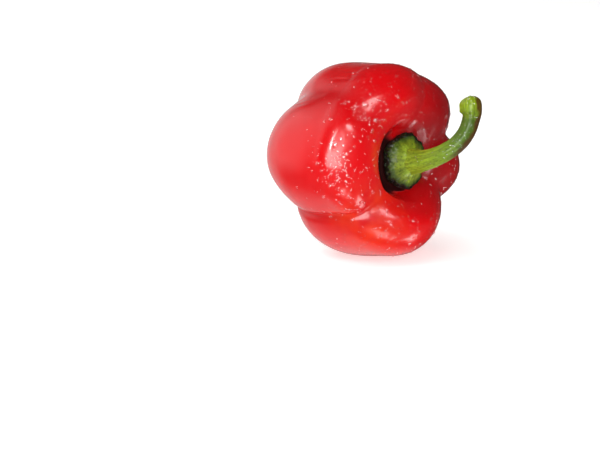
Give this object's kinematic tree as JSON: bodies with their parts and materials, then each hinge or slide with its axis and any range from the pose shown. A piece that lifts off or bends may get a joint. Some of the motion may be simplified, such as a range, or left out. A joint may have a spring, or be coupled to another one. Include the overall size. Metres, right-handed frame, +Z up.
{
  "type": "bell pepper",
  "caption": "Red blocky bell pepper lying on its side, with lobed flesh, a sunken green calyx and a curved, knobbed green stem.",
  "frame": {"origin": "on the surface that the pepper rests on, below the middle of its bounding box", "axes": "+Z up, away from the surface; +X level, to the side that the stem end points to, with the pepper's own axis tilted 8 degrees above it; +Y to the far side, towards the small lobes"},
  "size_m": [0.0948, 0.0952, 0.0924],
  "materials": {
    "skin": "waxy gloss",
    "calyx": "satin",
    "stem": "satin, ribbed",
    "water": "clear droplets"
  },
  "bodies": {
    "root": {"fruit": "skin", "calyx": "calyx", "stem": "stem"}
  },
  "joints": []
}
